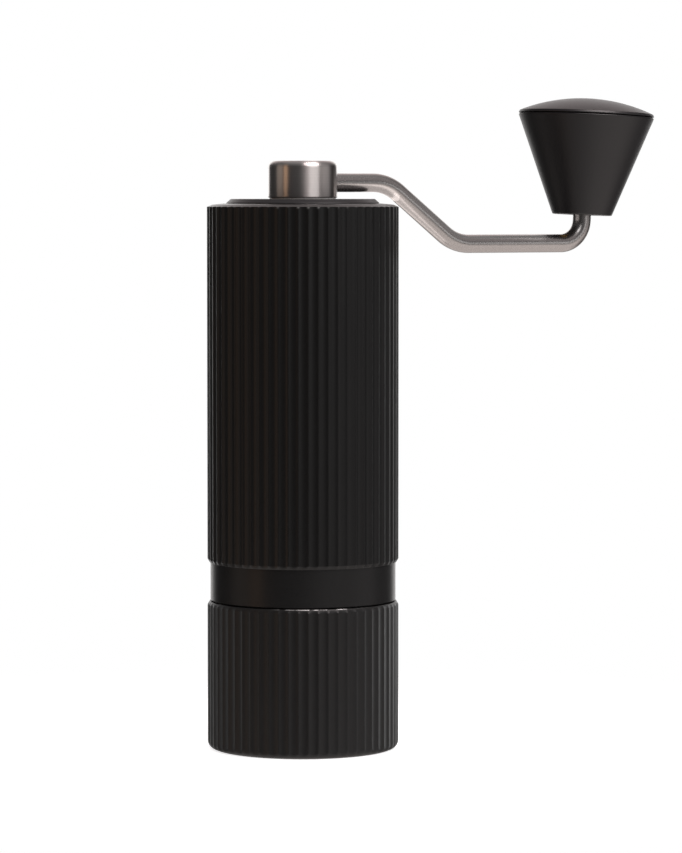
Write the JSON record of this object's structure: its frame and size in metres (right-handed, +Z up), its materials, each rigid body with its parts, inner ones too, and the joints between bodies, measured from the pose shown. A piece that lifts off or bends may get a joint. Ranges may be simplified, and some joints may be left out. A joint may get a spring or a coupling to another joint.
{
  "type": "hand crank coffee grinder",
  "caption": "Slim upright hand coffee grinder with a fluted black body, screw-on catch cup, lift-off lid and bent steel crank with a conical knob, conical burrs inside",
  "frame": {"origin": "middle of the catch cup's flat foot, on the drive shaft's axis", "axes": "+Z up along the drive shaft, +X from the shaft towards the crank's knob at rest, +Y to its left"},
  "size_m": [0.132, 0.052, 0.1775],
  "materials": {
    "black_anodised": "satin black anodised",
    "satin_steel": "satin",
    "black_plastic": "satin black",
    "bridge_plastic": "matte dark grey",
    "shaft_steel": "ground",
    "screw_steel": "dark zinc",
    "bearing_steel": "polished",
    "burr_steel": "milled",
    "spring_steel": "drawn wire",
    "nut_aluminium": "clear anodised",
    "brass": "turned",
    "seal_rubber": "smooth black",
    "pale_plastic": "smooth white"
  },
  "bodies": {
    "body": {"outer_sleeve": "black_anodised", "body_core": "black_anodised", "upper_bridge": "bridge_plastic", "lower_bridge": "bridge_plastic", "upper_bridge_screws": "screw_steel", "lower_bridge_screws": "screw_steel", "upper_bearing_outer_race": "bearing_steel", "lower_bearing_outer_race": "bearing_steel", "upper_bearing_shields": "bearing_steel", "lower_bearing_shields": "bearing_steel", "ring_burr": "burr_steel", "ring_burr_nut": "nut_aluminium"},
    "shaft": {"drive_shaft": "shaft_steel", "shaft_circlip": "screw_steel", "upper_bearing_inner_race": "bearing_steel", "lower_bearing_inner_race": "bearing_steel", "spring_washer": "shaft_steel", "burr_spring": "spring_steel"},
    "upper_balls": {"upper_bearing_balls": "bearing_steel"},
    "lower_balls": {"lower_bearing_balls": "bearing_steel"},
    "burr": {"cone_burr": "burr_steel", "click_plate": "burr_steel"},
    "dial": {"grind_dial": "black_plastic", "dial_nut": "brass", "detent_ball": "bearing_steel", "detent_spring": "spring_steel"},
    "seal": {"cup_seal": "seal_rubber"},
    "cup": {"catch_cup": "black_anodised"},
    "lid": {"lid": "black_plastic", "hub_washer": "pale_plastic"},
    "crank": {"crank_hub": "satin_steel", "crank_arm": "satin_steel", "lid_clip": "shaft_steel", "knob_bolt": "shaft_steel", "knob_washer": "shaft_steel"},
    "knob": {"knob_body": "black_plastic", "knob_cap": "black_plastic", "knob_bush_lower": "brass", "knob_bush_upper": "brass"}
  },
  "joints": [
    {"name": "lid_lift", "type": "slide", "parent": "body", "child": "lid", "axis": [0, 0, 1], "range_m": [0, 0.06]},
    {"name": "crank_turn", "type": "hinge", "parent": "lid", "child": "crank", "pos_m": [0, 0, 0.1538], "axis": [0, 0, 1], "continuous": true},
    {"name": "knob_spin", "type": "hinge", "parent": "crank", "child": "knob", "pos_m": [0.0854, 0, 0.137], "axis": [0.0454, 0, 0.999], "continuous": true},
    {"name": "shaft_turn", "type": "hinge", "parent": "body", "child": "shaft", "pos_m": [0, 0, 0.1], "axis": [0, 0, 1], "continuous": true},
    {"name": "upper_balls_turn", "type": "hinge", "parent": "body", "child": "upper_balls", "pos_m": [0, 0, 0.1293], "axis": [0, 0, 1], "continuous": true},
    {"name": "lower_balls_turn", "type": "hinge", "parent": "body", "child": "lower_balls", "pos_m": [0, 0, 0.0656], "axis": [0, 0, 1], "continuous": true},
    {"name": "burr_travel", "type": "slide", "parent": "shaft", "child": "burr", "axis": [0, 0, 1], "range_m": [-0.00133, 0.00067], "deforming": ["burr_spring"]},
    {"name": "dial_turn", "type": "hinge", "parent": "burr", "child": "dial", "pos_m": [0, 0, 0.0355], "axis": [0, 0, 1], "range_deg": [-480, 240]},
    {"name": "cup_turn", "type": "hinge", "parent": "body", "child": "seal", "pos_m": [0, 0, 0.0389], "axis": [0, 0, 1], "range_deg": [-1080, 0]},
    {"name": "cup_drop", "type": "slide", "parent": "seal", "child": "cup", "axis": [0, 0, 1], "range_m": [-0.00901, 0]}
  ],
  "couplings": [
    {"joint": "shaft_turn", "follows": "crank_turn", "ratio": 1},
    {"joint": "upper_balls_turn", "follows": "crank_turn", "ratio": 0.4},
    {"joint": "lower_balls_turn", "follows": "crank_turn", "ratio": 0.4},
    {"joint": "dial_turn", "follows": "burr_travel", "rad_per_m": 6283.2},
    {"joint": "cup_drop", "follows": "cup_turn", "m_per_rad": 0.00047746}
  ]
}
